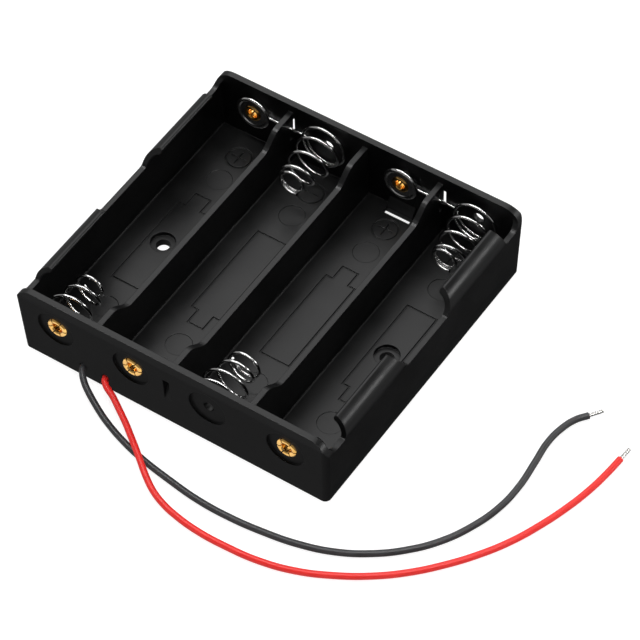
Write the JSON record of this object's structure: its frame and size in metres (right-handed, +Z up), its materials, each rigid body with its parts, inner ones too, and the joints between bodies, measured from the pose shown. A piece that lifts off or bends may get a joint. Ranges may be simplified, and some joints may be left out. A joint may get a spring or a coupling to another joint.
{
  "type": "cylindrical cell holder",
  "caption": "Open tray holder for cylindrical cells side by side, with conical spring contacts, riveted discs and a red and a black lead.",
  "frame": {"origin": "centre of the tray's underside, on the surface it lies on", "axes": "+X across the bays from the first to the last, +Y along the cells away from the leads, +Z up out of the open side"},
  "size_m": [0.1258, 0.0984, 0.0195],
  "materials": {
    "tray_plastic": "satin moulded black",
    "spring_wire": "bright nickel plated wire",
    "disc_sheet": "bright nickel plated sheet",
    "eyelet_brass": "polished",
    "lug_sheet": "tinned sheet",
    "solder_tin": "bright solder",
    "lead_black": "smooth insulation",
    "lead_red": "smooth insulation",
    "tinned_strands": "tinned strands"
  },
  "bodies": {
    "root": {"tray": "tray_plastic", "spring_bay_1": "spring_wire", "jumper_spring_1_2": "spring_wire", "jumper_spring_2_3": "spring_wire", "jumper_spring_3_4": "spring_wire", "disc_bay_1": "disc_sheet", "disc_bay_2": "disc_sheet", "disc_bay_3": "disc_sheet", "disc_bay_4": "disc_sheet", "eyelet_spring_1": "eyelet_brass", "eyelet_disc_1": "eyelet_brass", "eyelet_disc_2": "eyelet_brass", "eyelet_disc_3": "eyelet_brass", "eyelet_disc_4": "eyelet_brass", "lug_black": "lug_sheet", "lug_red": "lug_sheet", "solder_black": "solder_tin", "solder_red": "solder_tin", "black_lead": "lead_black", "red_lead": "lead_red", "black_lead_tip": "tinned_strands", "red_lead_tip": "tinned_strands"}
  },
  "joints": []
}
